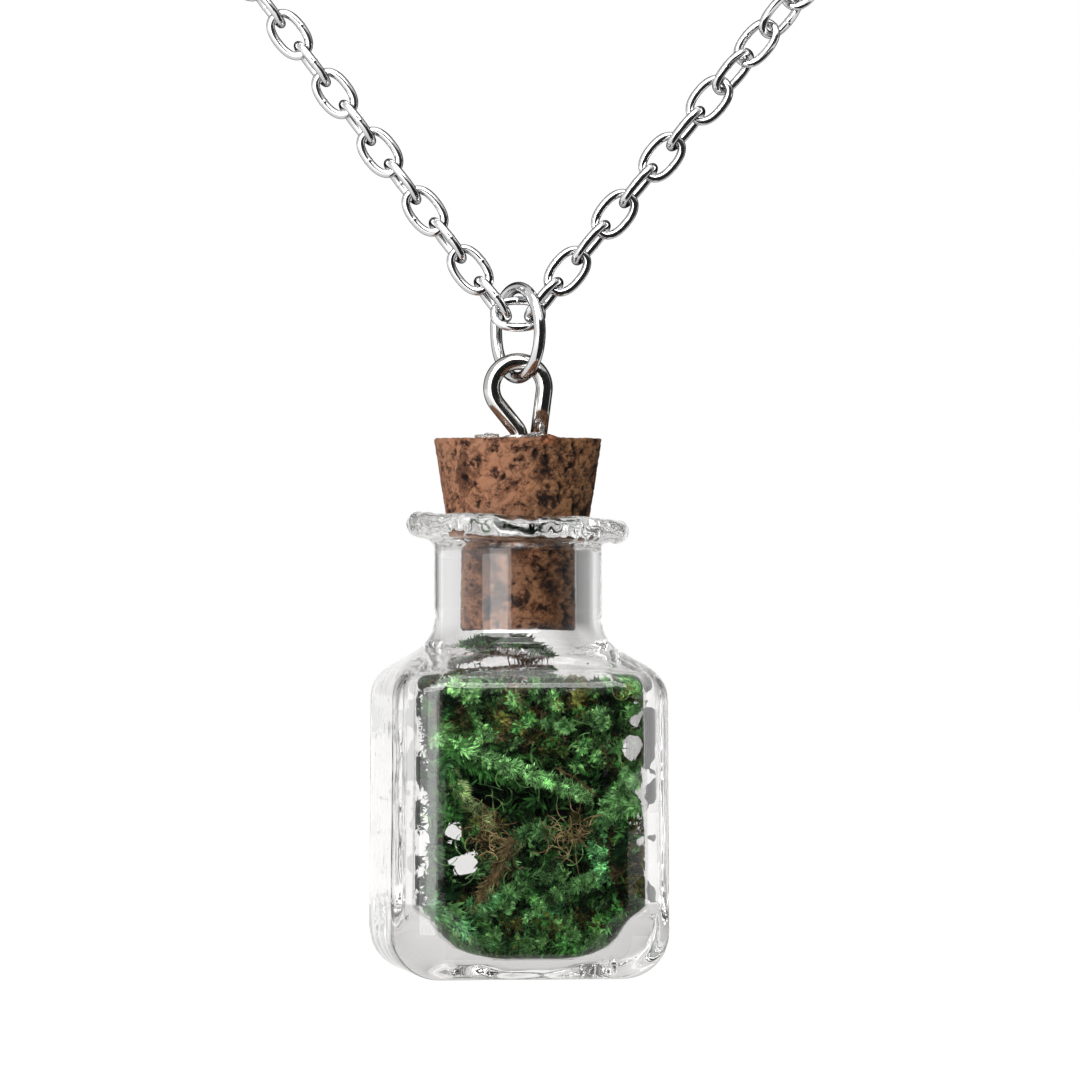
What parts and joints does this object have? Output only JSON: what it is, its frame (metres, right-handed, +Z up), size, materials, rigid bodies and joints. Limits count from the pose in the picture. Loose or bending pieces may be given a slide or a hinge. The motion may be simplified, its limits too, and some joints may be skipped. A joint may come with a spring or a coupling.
{
  "type": "bottle pendant necklace",
  "caption": "Small corked square glass bottle filled with moss, hung from a screw eye and jump ring on a whole cable chain.",
  "frame": {"origin": "middle of the back of the chain loop, where it rests on the nape of the neck", "axes": "+Z up, -Y towards the front where the pendant hangs, +X to the right as the picture shows it"},
  "size_m": [0.1198, 0.1329, 0.1279],
  "materials": {
    "glass": "clear, fire-polished",
    "moss": "matt, leafy",
    "cork": "agglomerated, matt",
    "eye_steel": "bright plated",
    "ring_steel": "bright plated",
    "chain_steel": "bright plated"
  },
  "bodies": {
    "chain": {"chain_left": "chain_steel", "chain_right": "chain_steel", "end_ring": "ring_steel", "clasp": "ring_steel"},
    "ring": {"jump_ring": "ring_steel"},
    "pendant": {"screw_eye": "eye_steel", "cork": "cork", "bottle": "glass", "moss": "moss"}
  },
  "joints": [
    {"name": "ring_swing", "type": "hinge", "parent": "chain", "child": "ring", "pos_m": [0, -0.1216, -0.086], "axis": [1, 0, 0], "range_deg": [-60, 60]},
    {"name": "pendant_swing", "type": "hinge", "parent": "ring", "child": "pendant", "pos_m": [0, -0.1216, -0.08975], "axis": [0.4848, -0.8746, 0], "range_deg": [-60, 60]}
  ]
}
